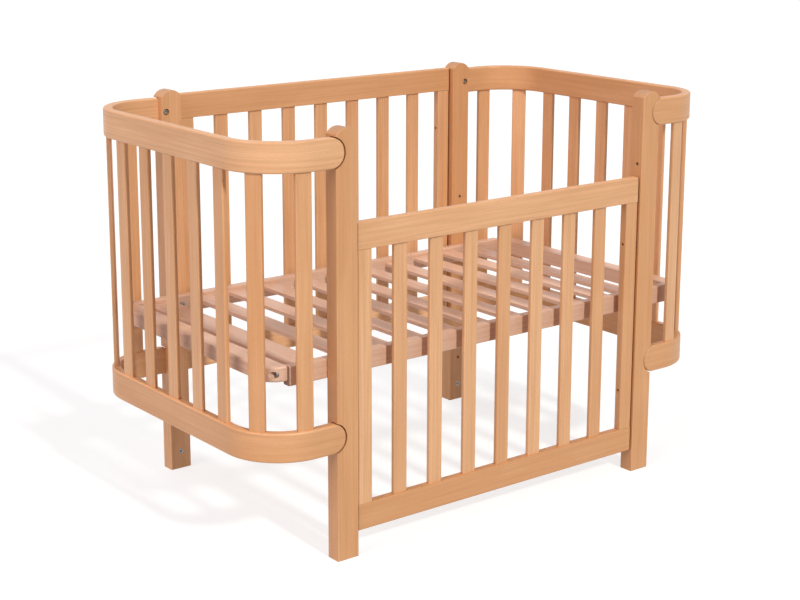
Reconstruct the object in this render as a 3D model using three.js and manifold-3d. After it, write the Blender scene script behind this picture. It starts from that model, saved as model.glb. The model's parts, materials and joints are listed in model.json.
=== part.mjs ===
// Crib in clear-lacquered beech: four arch-topped posts, two bent C-shaped ends with slats, a raised
// back side, a lowered front side and a slatted bed base.
// Millimetres, +Z up. X runs along the length, Y from the front to the back, and the origin is
// on the floor under the middle of the crib.

import * as THREE from 'three';
import { mergeVertices } from 'three/addons/utils/BufferGeometryUtils.js';
import Module from 'manifold-3d';

const wasm = await Module();
wasm.setup();

// The whole crib
const postSpan = 900; // outer face to outer face of the left and right posts
const endReach = 178.5; // of each rounded end beyond the posts' outer faces
const overallDepth = 700;
const overrun = 4; // how far a cutter runs past the face that it cuts
const fitGap = 0.3; // between a tenon, bolt or rail and the hole that it sits in
const slidingGap = 0.5; // between the posts and what slides past them

// Posts
const postWidth = 52;
const postDepth = 36;
const postHeight = 895;
const postDomeRise = 15;
const postEdgeRound = 2;

// Bent end rails
const railHeight = 62;
const railThickness = 21;
const railCornerRadius = 128; // of the outer face
const railEdgeRound = 4;
const railLap = 22; // how far the round end is let into a post
const railHousingGap = 1.8; // the dark line round the end
const bottomRailHeight = 265; // centre line above the floor
const topRailInset = 17.5; // from the posts' tops to the top rails' upper edges

// Slats of the ends and the sides
const slatWidth = 35;
const slatThickness = 10;
const slatEdgeRound = 3;
const tenonLength = 12;
const endSlatsEachWay = 4; // from the middle slat to the front, and to the back
const lastEndSlatInset = 70.7; // from its middle to the post's outer face, along the rail

// Front and back sides, which are alike
const sideThickness = 19;
const sideSetback = 4.5; // from the posts' outer faces
const sideRailHeight = 57;
const sideEdgeRound = 4;
const stileWidth = 35;
const stileEdgeRound = 3;
const stileTenonShoulder = 6;
const sideSlatCount = 7;
const frontSideBottom = 52;
const backSideBottom = 233;
const backSideTopInset = 12; // below the posts' tops
const sideBoltInset = 152; // from the top and the bottom edge of a side

// Bed base
const baseEndGap = 24.5; // to the inner faces of the bent rails
const baseBoltHeight = 404; // setting in use
const baseLowSetting = 116;
const baseHighSetting = 549;
const baseRailHeight = 41;
const baseRailThickness = 22;
const baseRailRound = 3;
const baseSlatWidth = 43;
const baseSlatThickness = 10;
const baseSlatRound = 2;
const baseSlatSink = 10.5; // below the rails' tops
const baseSlatHousing = 10; // how far a slat's end goes into a rail
const baseSlatPitch = 92;
const baseSlatsEachWay = 4; // from the middle slat to each end, without the last ones
const leftSlatWidth = 63; // of the last slat on the left
const leftSlatInset = 64; // from its middle to the left end bar
const rightSlatInset = 93.5; // from the last slat on the right to the right end bar
const endBarWidth = 43;
const endBarHeight = 32.5;
const endBarCornerGap = 7.4; // to the inside of the bent rails' corners
const endBarSetback = 8.5; // from the outer faces of the base rails
const endBarEdgeRound = 5;
const endBarHoleRadius = 7;
const endBarHoleInset = 9.5; // from the end of the bar
const endBarHoleDepth = 26;

// Bolts and the holes for them
const boltRadius = 3;
const boltHeadRadius = 5.2;
const boltHeadHeight = 4.5;
const boltHeadSink = 3; // below the post's inner face
const boltRecessRadius = 7.5;
const boltInRail = 16;
const boltHoleSpare = 2; // of the hole beyond the bolt's tip
const boltEdgeDistance = 12; // from the post's outer face
const boltKeyRadius = 2.6;
const boltKeyDepth = 2.8;
const boltHeadRound = 0.8;
const insertRadius = 4;
const insertDepth = 14;
const legInsertHeight = 42;
const sideHeadRadius = 5.5;
const sideHeadDepth = 13;
const washerRadius = 7;
const washerThickness = 3; // they keep the sides off the posts

// Steps of the round shapes
const edgeSteps = 2;
const arcSteps = 5;
const slatRoundSteps = 1;
const holeSides = 12;
const keySides = 6;

// Places worked out from the sizes
const halfDepth = overallDepth / 2;
const halfLength = postSpan / 2 + endReach;
const postCentreX = (postSpan - postWidth) / 2;
const postCentreY = halfDepth - postDepth / 2;
const topRailHeight = postHeight - topRailInset - railHeight / 2;
const railTipX = postSpan / 2 - railLap;
const railEndCentreX = railTipX + railHeight / 2;
const railCornerX = halfLength - railCornerRadius;
const railCornerY = halfDepth - railCornerRadius;
const railCentreRadius = railCornerRadius - railThickness / 2;
const sideHeight = postHeight - backSideTopInset - backSideBottom;
const sideLength = postSpan - 2 * postWidth - 2 * (washerThickness + slidingGap);
const sideCentreY = halfDepth - sideSetback - sideThickness / 2;
const sideBoltHeights = [sideBoltInset, sideHeight - sideBoltInset];
const baseHalfLength = halfLength - railThickness - baseEndGap;
const baseHalfWidth = halfDepth - postDepth - slidingGap;
const endBarInnerX = baseHalfLength - endBarWidth;

const beech = { color: 0xdfae7c, roughness: 0.45, metalness: 0 };
const paleBeech = { color: 0xc9a38f, roughness: 0.6, metalness: 0 };
const zincSteel = { color: 0xa9a6a2, roughness: 0.35, metalness: 1 };

// Solids

function toSolid(geometry) {
  const plain = geometry.clone();
  plain.deleteAttribute('normal');
  plain.deleteAttribute('uv');
  const merged = mergeVertices(plain);
  const vertProperties = new Float32Array(merged.attributes.position.array);
  const triVerts = new Uint32Array(merged.index.array);
  return new wasm.Manifold(new wasm.Mesh({ numProp: 3, vertProperties, triVerts }));
}

function toGeometry(solid) {
  const mesh = solid.getMesh();
  const geometry = new THREE.BufferGeometry();
  geometry.setAttribute('position', new THREE.BufferAttribute(mesh.vertProperties, 3));
  geometry.setIndex(new THREE.BufferAttribute(mesh.triVerts, 1));
  geometry.computeVertexNormals();
  return geometry;
}

function cut(geometry, cutters) {
  return toGeometry(cutters.reduce((solid, cutter) => solid.subtract(toSolid(cutter)), toSolid(geometry)));
}

function join(geometry, others) {
  return toGeometry(others.reduce((solid, other) => solid.add(toSolid(other)), toSolid(geometry)));
}

function keep(geometry, region) {
  return toGeometry(toSolid(geometry).intersect(toSolid(region)));
}

function block(low, high) {
  const size = new THREE.Vector3().subVectors(high, low);
  const centre = new THREE.Vector3().addVectors(low, high).divideScalar(2);
  return new THREE.BoxGeometry(size.x, size.y, size.z).translate(centre.x, centre.y, centre.z);
}

function rod(radius, start, end, sides = holeSides) {
  const along = new THREE.Vector3().subVectors(end, start);
  const length = along.length();
  const turn = new THREE.Quaternion().setFromUnitVectors(new THREE.Vector3(0, 1, 0), along.normalize());
  const middle = new THREE.Vector3().addVectors(start, end).divideScalar(2);
  return new THREE.CylinderGeometry(radius, radius, length, sides)
    .applyQuaternion(turn)
    .translate(middle.x, middle.y, middle.z);
}

// A flat outline made into a slab with rounded edges, its thickness centred on the outline's plane.
function slab(outline, thickness, round) {
  const geometry = new THREE.ExtrudeGeometry(outline, {
    depth: thickness - 2 * round,
    curveSegments: arcSteps,
    bevelEnabled: round > 0,
    bevelThickness: round,
    bevelSize: round,
    bevelOffset: -round,
    bevelSegments: edgeSteps,
  });
  return geometry.translate(0, 0, round - thickness / 2);
}

// The same for an outline drawn in X and Z, with its thickness along Y.
function uprightSlab(outline, thickness, round) {
  return slab(outline, thickness, round).rotateX(Math.PI / 2);
}

function rectangle(width, height, bottom = 0) {
  const outline = new THREE.Shape();
  outline.moveTo(-width / 2, bottom);
  outline.lineTo(width / 2, bottom);
  outline.lineTo(width / 2, bottom + height);
  outline.lineTo(-width / 2, bottom + height);
  outline.closePath();
  return outline;
}

// A bar standing along Z from zero, with its four long edges rounded.
function roundedBar(width, thickness, round, length) {
  const x = width / 2 - round;
  const y = thickness / 2 - round;
  const outline = new THREE.Shape();
  outline.absarc(x, y, round, 0, Math.PI / 2);
  outline.absarc(-x, y, round, Math.PI / 2, Math.PI);
  outline.absarc(-x, -y, round, Math.PI, Math.PI * 1.5);
  outline.absarc(x, -y, round, Math.PI * 1.5, Math.PI * 2);
  outline.closePath();
  return new THREE.ExtrudeGeometry(outline, {
    depth: length,
    curveSegments: slatRoundSteps,
    bevelEnabled: false,
  });
}

function piece(name, geometry, finish, place = new THREE.Vector3(), turn = 0) {
  const mesh = new THREE.Mesh(geometry, new THREE.MeshStandardMaterial(finish));
  mesh.name = name;
  mesh.position.copy(place);
  mesh.rotation.z = turn;
  return mesh;
}

// Posts. They are drawn as the right-hand pair and stand on their own foot's centre.

function postOutline() {
  const half = postWidth / 2;
  const spring = postHeight - postDomeRise;
  const domeRadius = (half * half + postDomeRise * postDomeRise) / (2 * postDomeRise);
  const domeCentre = postHeight - domeRadius;
  const reach = Math.atan2(spring - domeCentre, half);
  const outline = new THREE.Shape();
  outline.moveTo(-half, 0);
  outline.lineTo(half, 0);
  outline.lineTo(half, spring);
  outline.absarc(0, domeCentre, domeRadius, reach, Math.PI - reach);
  outline.closePath();
  return outline;
}

// The housing that takes the round end of a bent rail, open to the post's outer edge and outer face.
function railHousing(facing, centreHeight) {
  const radius = railHeight / 2 + railHousingGap;
  const centreX = railEndCentreX - postCentreX;
  const openX = Math.max(centreX, postWidth / 2) + overrun;
  const outline = new THREE.Shape();
  outline.moveTo(openX, -radius);
  outline.lineTo(openX, radius);
  outline.lineTo(centreX, radius);
  outline.absarc(centreX, 0, radius, Math.PI / 2, Math.PI * 1.5);
  outline.closePath();
  const depth = railThickness + fitGap + overrun;
  const middleY = facing * (postDepth / 2 + overrun - depth / 2);
  return uprightSlab(outline, depth, 0).translate(0, middleY, centreHeight);
}

function postBoltHole(facing, centreHeight) {
  const x = postWidth / 2 - boltEdgeDistance;
  const inner = -facing * postDepth / 2;
  const headFloor = inner + facing * (boltHeadHeight + boltHeadSink + fitGap);
  const spot = (y) => new THREE.Vector3(x, y, centreHeight);
  return [
    rod(boltRadius + fitGap, spot(inner - facing * overrun), spot(facing * postDepth / 2)),
    rod(boltRecessRadius, spot(inner - facing * overrun), spot(headFloor)),
  ];
}

function innerFaceInsert(facing, height) {
  const inner = -facing * postDepth / 2;
  const spot = (y) => new THREE.Vector3(0, y, height);
  return rod(insertRadius, spot(inner - facing * overrun), spot(inner + facing * insertDepth));
}

function sideInsert(facing, height) {
  const y = facing * (sideCentreY - postCentreY);
  const inner = -postWidth / 2;
  return rod(
    insertRadius,
    new THREE.Vector3(inner - overrun, y, height),
    new THREE.Vector3(inner + insertDepth, y, height),
  );
}

function post(facing, sideBottoms) {
  const body = uprightSlab(postOutline(), postDepth, postEdgeRound);
  const cutters = [];
  for (const height of [bottomRailHeight, topRailHeight]) {
    cutters.push(railHousing(facing, height), ...postBoltHole(facing, height));
  }
  for (const height of [legInsertHeight, baseLowSetting, baseBoltHeight, baseHighSetting]) {
    cutters.push(innerFaceInsert(facing, height));
  }
  for (const bottom of sideBottoms) {
    for (const height of sideBoltHeights) {
      cutters.push(sideInsert(facing, bottom + height));
    }
  }
  return cut(body, cutters);
}

// Bent rails and the slats between them, drawn as the right-hand end

function bentRailOutline() {
  const innerRadius = railCornerRadius - railThickness;
  const innerY = halfDepth - railThickness;
  const outline = new THREE.Shape();
  outline.moveTo(railTipX, -halfDepth);
  outline.absarc(railCornerX, -railCornerY, railCornerRadius, -Math.PI / 2, 0);
  outline.absarc(railCornerX, railCornerY, railCornerRadius, 0, Math.PI / 2);
  outline.lineTo(railTipX, halfDepth);
  outline.lineTo(railTipX, innerY);
  outline.absarc(railCornerX, railCornerY, innerRadius, Math.PI / 2, 0, true);
  outline.absarc(railCornerX, -railCornerY, innerRadius, 0, -Math.PI / 2, true);
  outline.lineTo(railTipX, -innerY);
  outline.closePath();
  return outline;
}

// What is cut off both tips so that they end in half circles when seen from the front.
function railTipWaste() {
  const radius = railHeight / 2;
  const outline = new THREE.Shape();
  outline.moveTo(railEndCentreX, radius + overrun);
  outline.lineTo(railTipX - overrun, radius + overrun);
  outline.lineTo(railTipX - overrun, -radius - overrun);
  outline.lineTo(railEndCentreX, -radius - overrun);
  outline.absarc(railEndCentreX, 0, radius, -Math.PI / 2, Math.PI / 2, true);
  outline.closePath();
  return uprightSlab(outline, overallDepth + 2 * overrun, 0);
}

// A point on the rail's centre line and its heading, by the distance from the middle of the end.
function alongRail(distance) {
  const side = Math.sign(distance);
  const run = Math.abs(distance);
  if (run <= railCornerY) {
    return { x: halfLength - railThickness / 2, y: distance, turn: Math.PI / 2 };
  }
  const angle = Math.min((run - railCornerY) / railCentreRadius, Math.PI / 2);
  const rest = run - railCornerY - railCentreRadius * angle;
  return {
    x: railCornerX + railCentreRadius * Math.cos(angle) - rest,
    y: side * (railCornerY + railCentreRadius * Math.sin(angle)),
    turn: Math.PI / 2 + side * angle,
  };
}

function endSlatPlaces() {
  const run = railCornerY + railCentreRadius * Math.PI / 2 + railCornerX - postSpan / 2;
  const pitch = (run - lastEndSlatInset) / endSlatsEachWay;
  const places = [];
  for (let i = -endSlatsEachWay; i <= endSlatsEachWay; i += 1) {
    places.push(alongRail(i * pitch));
  }
  return places;
}

function slat(clearHeight, spare = 0) {
  const length = clearHeight + 2 * tenonLength + 2 * spare;
  return roundedBar(slatWidth + 2 * spare, slatThickness + 2 * spare, slatEdgeRound + spare, length)
    .translate(0, 0, -tenonLength - spare);
}

const endSlatBottom = bottomRailHeight + railHeight / 2;
const endSlatClear = topRailHeight - bottomRailHeight - railHeight;

function bentRail(centreHeight) {
  const body = slab(bentRailOutline(), railHeight, railEdgeRound);
  const cutters = [railTipWaste()];
  for (const { x, y, turn } of endSlatPlaces()) {
    cutters.push(slat(endSlatClear, fitGap).rotateZ(turn).translate(x, y, endSlatBottom - centreHeight));
  }
  const boltX = postSpan / 2 - boltEdgeDistance;
  const inner = halfDepth - railThickness;
  for (const facing of [-1, 1]) {
    cutters.push(rod(
      boltRadius + fitGap,
      new THREE.Vector3(boltX, facing * (inner - overrun), 0),
      new THREE.Vector3(boltX, facing * (inner + boltInRail + boltHoleSpare), 0),
    ));
  }
  return cut(body, cutters);
}

// A socket-head bolt that points along +Y, with its head's face at zero.
function railBolt() {
  const headTop = boltHeadHeight;
  const length = postDepth - boltHeadSink - railThickness + boltInRail;
  const profile = [
    new THREE.Vector2(0, 0),
    new THREE.Vector2(boltHeadRadius - boltHeadRound, 0),
    new THREE.Vector2(boltHeadRadius, boltHeadRound),
    new THREE.Vector2(boltHeadRadius, headTop),
    new THREE.Vector2(boltRadius, headTop),
    new THREE.Vector2(boltRadius, length),
    new THREE.Vector2(0, length),
  ];
  const body = new THREE.LatheGeometry(profile, holeSides);
  const key = rod(
    boltKeyRadius,
    new THREE.Vector3(0, -overrun, 0),
    new THREE.Vector3(0, boltKeyDepth, 0),
    keySides,
  );
  return cut(body, [key]);
}

// One end of the crib. The left one is the right one turned half round, so its facings swap.
function cribEnd(side, turn) {
  const group = new THREE.Group();
  group.rotation.z = turn;
  const nameOf = (facing) => ((facing < 0) === (turn === 0) ? 'front' : 'back');
  for (const facing of [-1, 1]) {
    const which = nameOf(facing);
    const bottoms = which === 'front' ? [frontSideBottom, backSideBottom] : [backSideBottom];
    const foot = new THREE.Vector3(postCentreX, facing * postCentreY, 0);
    group.add(piece(`post_${which}_${side}`, post(facing, bottoms), beech, foot));
  }
  const levels = { bottom: bottomRailHeight, top: topRailHeight };
  for (const [level, height] of Object.entries(levels)) {
    group.add(piece(`end_rail_${level}_${side}`, bentRail(height), beech, new THREE.Vector3(0, 0, height)));
    for (const facing of [-1, 1]) {
      const headY = facing * (halfDepth - postDepth + boltHeadSink);
      const spot = new THREE.Vector3(postSpan / 2 - boltEdgeDistance, headY, height);
      const heading = facing > 0 ? 0 : Math.PI;
      group.add(piece(`rail_bolt_${level}_${nameOf(facing)}_${side}`, railBolt(), zincSteel, spot, heading));
    }
  }
  endSlatPlaces().forEach((place, i) => {
    const spot = new THREE.Vector3(place.x, place.y, endSlatBottom);
    group.add(piece(`end_slat_${side}_${i + 1}`, slat(endSlatClear), beech, spot, place.turn));
  });
  return group;
}

// Front and back sides

const sideClear = sideHeight - 2 * sideRailHeight;
const sideStileX = (sideLength - stileWidth) / 2;
const stileTenonWidth = stileWidth - 2 * stileTenonShoulder;
const stileTenonThickness = sideThickness - 2 * stileTenonShoulder;

function sideSlatPlaces() {
  const opening = sideLength - 2 * stileWidth;
  const gap = (opening - sideSlatCount * slatWidth) / (sideSlatCount + 1);
  const places = [];
  for (let i = 0; i < sideSlatCount; i += 1) {
    places.push(-opening / 2 + gap + slatWidth / 2 + i * (gap + slatWidth));
  }
  return places;
}

// The flat bar that runs through a stile and stands out of both its ends as tenons.
function stileTenon(spare = 0) {
  const x = stileTenonWidth / 2 + spare;
  const y = stileTenonThickness / 2 + spare;
  const reach = tenonLength + spare;
  return block(new THREE.Vector3(-x, -y, -reach), new THREE.Vector3(x, y, sideClear + reach));
}

// A stile with the washers that stand between it and the post.
function stile() {
  const bar = roundedBar(stileWidth, sideThickness, stileEdgeRound, sideClear);
  const washers = [];
  const cutters = [];
  const inner = -stileWidth / 2;
  const washerFace = stileWidth / 2 + washerThickness;
  for (const height of sideBoltHeights) {
    const spot = (x) => new THREE.Vector3(x, 0, height - sideRailHeight);
    washers.push(rod(washerRadius, spot(washerFace - washerThickness - overrun), spot(washerFace)));
    cutters.push(rod(boltRadius + fitGap, spot(inner - overrun), spot(washerFace + overrun)));
    cutters.push(rod(sideHeadRadius, spot(inner - overrun), spot(inner + sideHeadDepth)));
  }
  return cut(join(bar, [stileTenon(), ...washers]), cutters);
}

// A side's rail, drawn from its bottom edge, with the mortises of the pieces that stand in it.
function sideRail(bottom) {
  const body = uprightSlab(rectangle(sideLength, sideRailHeight, bottom), sideThickness, sideEdgeRound);
  const cutters = [];
  for (const x of sideSlatPlaces()) {
    cutters.push(slat(sideClear, fitGap).translate(x, 0, sideRailHeight));
  }
  for (const x of [-sideStileX, sideStileX]) {
    cutters.push(stileTenon(fitGap).translate(x, 0, sideRailHeight));
  }
  return cut(body, cutters);
}

function cribSide(which, facing, bottom) {
  const group = new THREE.Group();
  group.position.set(0, facing * sideCentreY, bottom);
  group.add(piece(`${which}_bottom_rail`, sideRail(0), beech));
  group.add(piece(`${which}_top_rail`, sideRail(sideHeight - sideRailHeight), beech));
  const leftStile = new THREE.Vector3(-sideStileX, 0, sideRailHeight);
  const rightStile = new THREE.Vector3(sideStileX, 0, sideRailHeight);
  group.add(piece(`${which}_stile_left`, stile(), beech, leftStile, Math.PI));
  group.add(piece(`${which}_stile_right`, stile(), beech, rightStile));
  sideSlatPlaces().forEach((x, i) => {
    const spot = new THREE.Vector3(x, 0, sideRailHeight);
    group.add(piece(`${which}_slat_${i + 1}`, slat(sideClear), beech, spot));
  });
  return group;
}

// Bed base, drawn about the height of the bolts that hold it

const baseRailTop = baseRailHeight / 2;

// The long rail on the front or the back of the base.
function baseRail(facing) {
  const middleY = facing * (baseHalfWidth - baseRailThickness / 2);
  return roundedBar(baseRailHeight, baseRailThickness, baseRailRound, 2 * endBarInnerX)
    .rotateY(Math.PI / 2)
    .translate(-endBarInnerX, middleY, 0);
}

function baseSlat(x, width) {
  const length = 2 * (baseHalfWidth - baseRailThickness + baseSlatHousing);
  const middle = baseRailTop - baseSlatSink - baseSlatThickness / 2;
  return roundedBar(width, baseSlatThickness, baseSlatRound, length)
    .rotateX(-Math.PI / 2)
    .translate(x, -length / 2, middle);
}

function slatDeck() {
  const slats = [
    baseSlat(leftSlatInset - endBarInnerX, leftSlatWidth),
    baseSlat(endBarInnerX - rightSlatInset, baseSlatWidth),
  ];
  for (let i = -baseSlatsEachWay; i <= baseSlatsEachWay; i += 1) {
    slats.push(baseSlat(i * baseSlatPitch, baseSlatWidth));
  }
  const body = join(baseRail(-1), [baseRail(1), ...slats]);
  const holes = [];
  for (const facing of [-1, 1]) {
    for (const x of [-postCentreX, postCentreX]) {
      const inner = baseHalfWidth - baseRailThickness - overrun;
      holes.push(rod(
        boltRadius + fitGap,
        new THREE.Vector3(x, facing * inner, 0),
        new THREE.Vector3(x, facing * (baseHalfWidth + overrun), 0),
      ));
    }
  }
  return cut(body, holes);
}

const endBarHalfY = baseHalfWidth - endBarSetback;

// The corner radius that keeps the base clear of the bent rails' rounded corners on its way past them.
function endBarCornerRadius() {
  const inset = (baseHalfLength - railCornerX + endBarHalfY - railCornerY) / 2;
  const reach = railCornerRadius - railThickness - endBarCornerGap;
  return (Math.SQRT2 * inset - reach) / (Math.SQRT2 - 1);
}

// The bar across the right-hand end of the base, cut from the base's rounded plan.
function endBar() {
  const radius = endBarCornerRadius();
  const cornerX = baseHalfLength - radius;
  const cornerY = endBarHalfY - radius;
  const outline = new THREE.Shape();
  outline.moveTo(0, -endBarHalfY);
  outline.absarc(cornerX, -cornerY, radius, -Math.PI / 2, 0);
  outline.absarc(cornerX, cornerY, radius, 0, Math.PI / 2);
  outline.lineTo(0, endBarHalfY);
  outline.closePath();
  const height = baseRailTop - endBarHeight / 2;
  const plank = slab(outline, endBarHeight, endBarEdgeRound).translate(0, 0, height);
  const region = block(
    new THREE.Vector3(endBarInnerX, -halfDepth, height - endBarHeight),
    new THREE.Vector3(halfLength, halfDepth, height + endBarHeight),
  );
  const holes = [-1, 1].map((facing) => {
    const y = facing * (endBarHalfY - endBarHoleInset);
    return rod(
      endBarHoleRadius,
      new THREE.Vector3(halfLength, y, height),
      new THREE.Vector3(baseHalfLength - endBarHoleDepth, y, height),
    );
  });
  return cut(keep(plank, region), holes);
}

function bedBase() {
  const group = new THREE.Group();
  group.position.z = baseBoltHeight;
  group.add(piece('base_slat_deck', slatDeck(), paleBeech));
  group.add(piece('base_end_bar_right', endBar(), paleBeech));
  group.add(piece('base_end_bar_left', endBar(), paleBeech, new THREE.Vector3(), Math.PI));
  return group;
}

const crib = new THREE.Group();
crib.add(cribEnd('right', 0));
crib.add(cribEnd('left', Math.PI));
crib.add(cribSide('front', -1, frontSideBottom));
crib.add(cribSide('back', 1, backSideBottom));
crib.add(bedBase());

export default crib;
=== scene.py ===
import json
import math
import random

import bmesh
import bpy
import numpy as np
from mathutils import Matrix, Vector


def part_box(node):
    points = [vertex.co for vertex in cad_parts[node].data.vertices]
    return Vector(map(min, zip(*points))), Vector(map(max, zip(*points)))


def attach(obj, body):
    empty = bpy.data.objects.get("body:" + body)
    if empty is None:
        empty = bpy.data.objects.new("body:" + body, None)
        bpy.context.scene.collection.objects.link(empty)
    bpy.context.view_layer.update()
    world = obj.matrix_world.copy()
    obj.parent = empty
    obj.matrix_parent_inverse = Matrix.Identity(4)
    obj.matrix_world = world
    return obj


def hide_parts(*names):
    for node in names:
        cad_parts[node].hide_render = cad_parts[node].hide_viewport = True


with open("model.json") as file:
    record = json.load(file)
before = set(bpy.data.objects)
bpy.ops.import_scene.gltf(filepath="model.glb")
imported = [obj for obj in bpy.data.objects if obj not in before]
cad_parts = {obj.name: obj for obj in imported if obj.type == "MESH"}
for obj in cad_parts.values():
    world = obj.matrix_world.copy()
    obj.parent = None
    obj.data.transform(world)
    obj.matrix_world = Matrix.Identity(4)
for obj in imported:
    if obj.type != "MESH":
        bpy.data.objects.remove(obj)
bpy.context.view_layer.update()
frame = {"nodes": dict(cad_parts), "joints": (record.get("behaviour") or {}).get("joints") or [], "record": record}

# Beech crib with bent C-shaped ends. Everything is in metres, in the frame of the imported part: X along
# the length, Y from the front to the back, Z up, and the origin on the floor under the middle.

BODY_OF = {node: body for body, nodes in frame["record"]["behaviour"]["bodies"].items() for node in nodes}

# Camera, close to the one that was fitted to the photograph's 800 x 600 frame
IMAGE_WIDTH = 800
IMAGE_HEIGHT = 600
CAMERA_PLACE = Vector((-2.3142, -2.9289, 1.4030))
CAMERA_YAW = math.radians(38.09)
CAMERA_PITCH = math.radians(12.75)
CAMERA_ROLL = math.radians(0.15)
FOCAL_PIXELS = 1670.6
PRINCIPAL_ROW = 236
SENSOR_WIDTH = 36
SIGHT_LIMIT = 100

# Sizes that the frame's boxes don't give
POST_DOME_RISE = 0.015
POST_EDGE = 0.002
RAIL_THICKNESS = 0.021
RAIL_CORNER_RADIUS = 0.128
RAIL_EDGE = 0.004
HOUSING_GAP = 0.0018
FIT_GAP = 0.0003
OVERRUN = 0.004
SLAT_EDGE = 0.003
TENON = 0.012
BURIED = 0.002
SIDE_OUTER_EDGE = 0.004
SIDE_INNER_EDGE = 0.0015
STILE_EDGE = 0.003
EASED = 0.0008
BASE_RAIL_THICKNESS = 0.022
BASE_RAIL_EDGE = 0.003
BASE_SLAT_WIDTH = 0.043
BASE_SLAT_THICKNESS = 0.010
BASE_SLAT_EDGE = 0.0025
BASE_SLAT_SINK = 0.0105
BASE_SLAT_PITCH = 0.092
BASE_SLATS_EACH_WAY = 4
LEFT_SLAT_WIDTH = 0.063
LEFT_SLAT_INSET = 0.064
RIGHT_SLAT_INSET = 0.0935
END_BAR_CORNER_RADIUS = 0.042
END_BAR_EDGE = 0.005
END_BAR_HOLE_RADIUS = 0.007
END_BAR_HOLE_INSET = 0.0095
END_BAR_HOLE_DEPTH = 0.026

# Sizes of the fasteners
BOLT_RADIUS = 0.003
BOLT_HEAD_RADIUS = 0.0052
BOLT_RECESS_RADIUS = 0.0075
BOLT_HEAD_HEIGHT = 0.0045
BOLT_EDGE_DISTANCE = 0.012
BOLT_HEAD_SINK = 0.003
BOLT_LENGTH = 0.0304
BOLT_CHAMFER = 0.0007
KEY_RADIUS = 0.0027
KEY_DEPTH = 0.0028
KEY_SIDES = 6
INSERT_HOLE_RADIUS = 0.004
INSERT_HOLE_DEPTH = 0.014
INSERT_RADIUS = 0.0039
INSERT_BORE = 0.0027
INSERT_LENGTH = 0.0095
INSERT_SINK = 0.004
THREAD_PITCH = 0.001
THREAD_HEIGHT = 0.0004
THREAD_FLANK_SHARE = 0.25
FLANGE_RADIUS = 0.006
FLANGE_RISE = 0.0003
LEG_INSERT_HEIGHT = 0.042
SIDE_BOLT_INSET = 0.152
SIDE_HEAD_RADIUS = 0.0055
SIDE_HEAD_DEPTH = 0.013
WASHER_RADIUS = 0.007
WASHER_THICKNESS = 0.003

# Steps of the round shapes
EDGE_STEPS = 4
CORNER_STEPS = 4
DOME_STEPS = 24
BEND_STEPS = 30
TIP_STEPS = 16
HOLE_SIDES = 32
SHARP_ANGLE = math.radians(38)
MERGE_DISTANCE = 1e-7

# Places worked out from the frame
POST_LOW, POST_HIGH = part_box("post_back_right")
RAIL_LOW, RAIL_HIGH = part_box("end_rail_top_right")
LOW_RAIL_LOW, LOW_RAIL_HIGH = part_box("end_rail_bottom_right")
DECK_LOW, DECK_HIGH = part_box("base_slat_deck")
HALF_LENGTH = RAIL_HIGH.x
HALF_DEPTH = RAIL_HIGH.y
RAIL_HEIGHT = RAIL_HIGH.z - RAIL_LOW.z
RAIL_TIP = RAIL_LOW.x
RAIL_CENTRES = [(RAIL_LOW.z + RAIL_HIGH.z) / 2, (LOW_RAIL_LOW.z + LOW_RAIL_HIGH.z) / 2]
CORNER_X = HALF_LENGTH - RAIL_CORNER_RADIUS
CORNER_Y = HALF_DEPTH - RAIL_CORNER_RADIUS
BEND_RADIUS = RAIL_CORNER_RADIUS - RAIL_THICKNESS / 2
BEND_RUN = BEND_RADIUS * math.pi / 2
BASE_BOLT_Z = (DECK_LOW.z + DECK_HIGH.z) / 2
RANGES = {joint["name"]: joint["range_m"] for joint in frame["joints"]}
BASE_RANGE = RANGES["base_height"]
SIDE_RISE = RANGES["front_side_height"][1]
SIGN_X = {"left": -1, "right": 1}
SIGN_Y = {"front": -1, "back": 1}
AXIS_X = Vector((1, 0, 0))
AXIS_Y = Vector((0, 1, 0))
AXIS_Z = Vector((0, 0, 1))


# Outlines and closed bodies

def arc(centre, radius, start, end, steps):
    turns = [start + (end - start) * i / steps for i in range(steps + 1)]
    return [centre + Vector((math.cos(turn), math.sin(turn))) * radius for turn in turns]


def circle(radius, sides=HOLE_SIDES):
    return arc(Vector((0, 0)), radius, 0, math.tau, sides)[:-1]


def rounded_rectangle(width, height, radii):
    """Anticlockwise round the origin, with a radius for each corner from the upper right one."""
    points = []
    for i, radius in enumerate(radii):
        sign_x = 1 if i in (0, 3) else -1
        sign_y = 1 if i < 2 else -1
        centre = Vector((sign_x * (width / 2 - radius), sign_y * (height / 2 - radius)))
        points += arc(centre, radius, i * math.pi / 2, (i + 1) * math.pi / 2, CORNER_STEPS)
    return points


def inset(points, amount):
    """An anticlockwise outline moved inwards."""
    moved = []
    for before, point, after in zip(points[-1:] + points[:-1], points, points[1:] + points[:1]):
        arriving = (point - before).normalized()
        leaving = (after - point).normalized()
        mitre = Vector((-arriving.y - leaving.y, arriving.x + leaving.x))
        moved.append(point + mitre * (amount / (1 + arriving.dot(leaving))))
    return moved


def slab(points, thickness, edge=0):
    """Rings of an outline's slab, as (outline, depth), with round edges at both faces."""
    if not edge:
        return [(points, thickness / 2), (points, -thickness / 2)]
    rings = []
    for i in range(EDGE_STEPS + 1):
        angle = i / EDGE_STEPS * math.pi / 2
        ring = inset(points, edge * (1 - math.sin(angle)))
        rings.append((ring, thickness / 2 - edge * (1 - math.cos(angle))))
    return rings + [(ring, -depth) for ring, depth in reversed(rings)]


def lathe(profile):
    """Rings of a turned body from (radius, depth) pairs, from one end to the other."""
    return [(circle(radius), depth) for radius, depth in profile]


def place_rings(mesh, rings, place):
    """The vertices of each ring, where place puts them."""
    made = []
    for outline, depth in rings:
        made.append([mesh.verts.new(place(point.x, point.y, depth)) for point in outline])
    return made


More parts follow.
